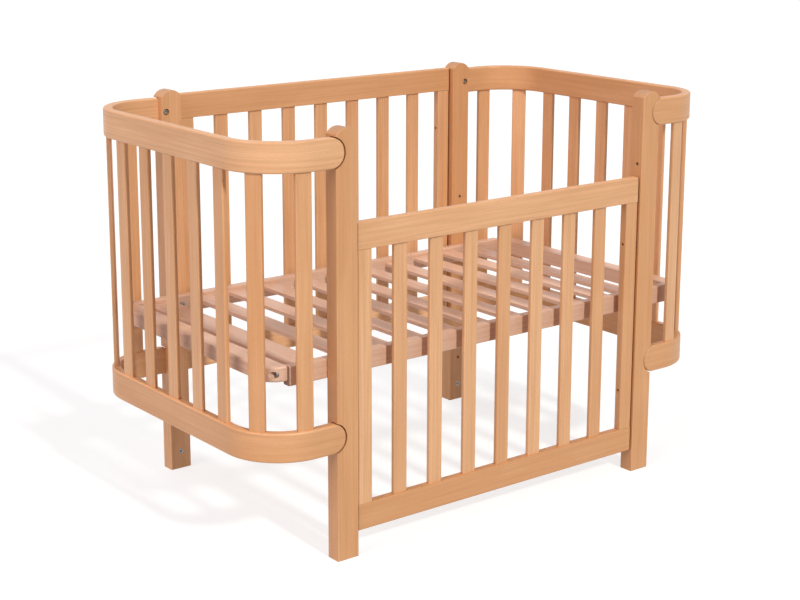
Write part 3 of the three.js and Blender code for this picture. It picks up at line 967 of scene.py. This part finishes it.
for which in SIGN_Y:
    for side in SIGN_X:
        make_post(which, side)
        make_inserts(which, side)
    make_side(which)
    make_side_bolts(which)
for side in SIGN_X:
    for level, height in zip(("top", "bottom"), RAIL_CENTRES):
        make_bent_rail(level, side, height)
    make_end_bar(side)
for node in BODY_OF:
    if "_slat_" in node and node != "base_slat_deck":
        make_slat(node)
make_rail_bolts()
for which in SIGN_Y:
    make_base_rail(which)
make_base_slats()
make_base_bolts()
make_end_bar_bolts()


# Floor, light and camera

FLOOR_SIZE = 30
FLOOR_COLOUR = (0.35, 0.365, 0.365, 1)
BACKGROUND_COLOUR = (1, 1, 1, 1)

# How brightly the floor glows where it is seen directly, and to all other rays
FLOOR_GLOW = 0.735
FLOOR_BOUNCE = 0.3

# The even light from all around
AMBIENT = 0.12
AMBIENT_COLOUR = (1.0, 0.86, 0.84, 1)


def seen_directly(tree):
    """1 where a camera, glossy or transmission ray arrives, otherwise 0."""
    path = tree.nodes.new("ShaderNodeLightPath")
    either = tree.nodes.new("ShaderNodeMath")
    either.operation = "MAXIMUM"
    tree.links.new(path.outputs["Is Camera Ray"], either.inputs[0])
    tree.links.new(path.outputs["Is Glossy Ray"], either.inputs[1])
    each = tree.nodes.new("ShaderNodeMath")
    each.operation = "MAXIMUM"
    tree.links.new(either.outputs[0], each.inputs[0])
    tree.links.new(path.outputs["Is Transmission Ray"], each.inputs[1])
    return each.outputs[0]


def make_floor():
    mesh = bmesh.new()
    bmesh.ops.create_grid(mesh, x_segments=1, y_segments=1, size=FLOOR_SIZE)
    floor = new_object("floor", mesh)
    material = bpy.data.materials.new("floor")
    material.use_nodes = True
    tree = material.node_tree
    tree.nodes.clear()
    diffuse = tree.nodes.new("ShaderNodeBsdfDiffuse")
    diffuse.inputs["Color"].default_value = FLOOR_COLOUR
    glow = tree.nodes.new("ShaderNodeEmission")
    strength = tree.nodes.new("ShaderNodeMapRange")
    strength.inputs["To Min"].default_value = FLOOR_BOUNCE
    strength.inputs["To Max"].default_value = FLOOR_GLOW
    tree.links.new(seen_directly(tree), strength.inputs["Value"])
    tree.links.new(strength.outputs["Result"], glow.inputs["Strength"])
    both = tree.nodes.new("ShaderNodeAddShader")
    tree.links.new(diffuse.outputs[0], both.inputs[0])
    tree.links.new(glow.outputs[0], both.inputs[1])
    output = tree.nodes.new("ShaderNodeOutputMaterial")
    tree.links.new(both.outputs[0], output.inputs["Surface"])
    floor.data.materials.append(material)


def make_world():
    world = bpy.data.worlds.new("studio")
    bpy.context.scene.world = world
    world.use_nodes = True
    tree = world.node_tree
    tree.nodes.clear()
    direct = seen_directly(tree)
    seen = tree.nodes.new("ShaderNodeBackground")
    seen.inputs["Color"].default_value = BACKGROUND_COLOUR
    ambient = tree.nodes.new("ShaderNodeBackground")
    ambient.inputs["Color"].default_value = AMBIENT_COLOUR
    ambient.inputs["Strength"].default_value = AMBIENT
    pick = tree.nodes.new("ShaderNodeMixShader")
    tree.links.new(direct, pick.inputs[0])
    tree.links.new(ambient.outputs[0], pick.inputs[1])
    tree.links.new(seen.outputs[0], pick.inputs[2])
    output = tree.nodes.new("ShaderNodeOutputWorld")
    tree.links.new(pick.outputs[0], output.inputs["Surface"])


def make_sun(name, azimuth, elevation, strength, width, colour):
    """A lamp as far as the sun. Azimuth 0 stands in front of the crib and 90 on its right."""
    data = bpy.data.lights.new(name, "SUN")
    data.energy = strength
    data.angle = math.radians(width)
    data.color = colour
    lamp = bpy.data.objects.new(name, data)
    bpy.context.scene.collection.objects.link(lamp)
    turn = math.radians(azimuth)
    rise = math.radians(elevation)
    reach = math.cos(rise)
    towards = Vector((math.sin(turn) * reach, -math.cos(turn) * reach, math.sin(rise)))
    lamp.rotation_mode = "QUATERNION"
    lamp.rotation_quaternion = towards.to_track_quat("Z", "Y")


def make_camera():
    data = bpy.data.cameras.new("camera")
    data.sensor_width = SENSOR_WIDTH
    data.lens = FOCAL_PIXELS * SENSOR_WIDTH / IMAGE_WIDTH
    data.shift_y = (PRINCIPAL_ROW - IMAGE_HEIGHT / 2) / IMAGE_WIDTH
    data.clip_end = SIGHT_LIMIT
    camera = bpy.data.objects.new("camera", data)
    bpy.context.scene.collection.objects.link(camera)
    turn = Matrix.Rotation(-CAMERA_YAW, 4, "Z") @ Matrix.Rotation(math.pi / 2 - CAMERA_PITCH, 4, "X")
    camera.matrix_world = Matrix.Translation(CAMERA_PLACE) @ turn @ Matrix.Rotation(CAMERA_ROLL, 4, "Z")
    bpy.context.scene.camera = camera


make_floor()
make_world()
make_sun("key", azimuth=-2, elevation=38, strength=2.2, width=5, colour=(1.0, 0.98, 0.94))
make_sun("side", azimuth=-82, elevation=32, strength=1.5, width=40, colour=(1.0, 0.88, 0.90))
make_sun("top", azimuth=200, elevation=70, strength=0.75, width=60, colour=(1.0, 0.94, 0.96))
make_camera()
bpy.context.scene.view_settings.view_transform = "Standard"
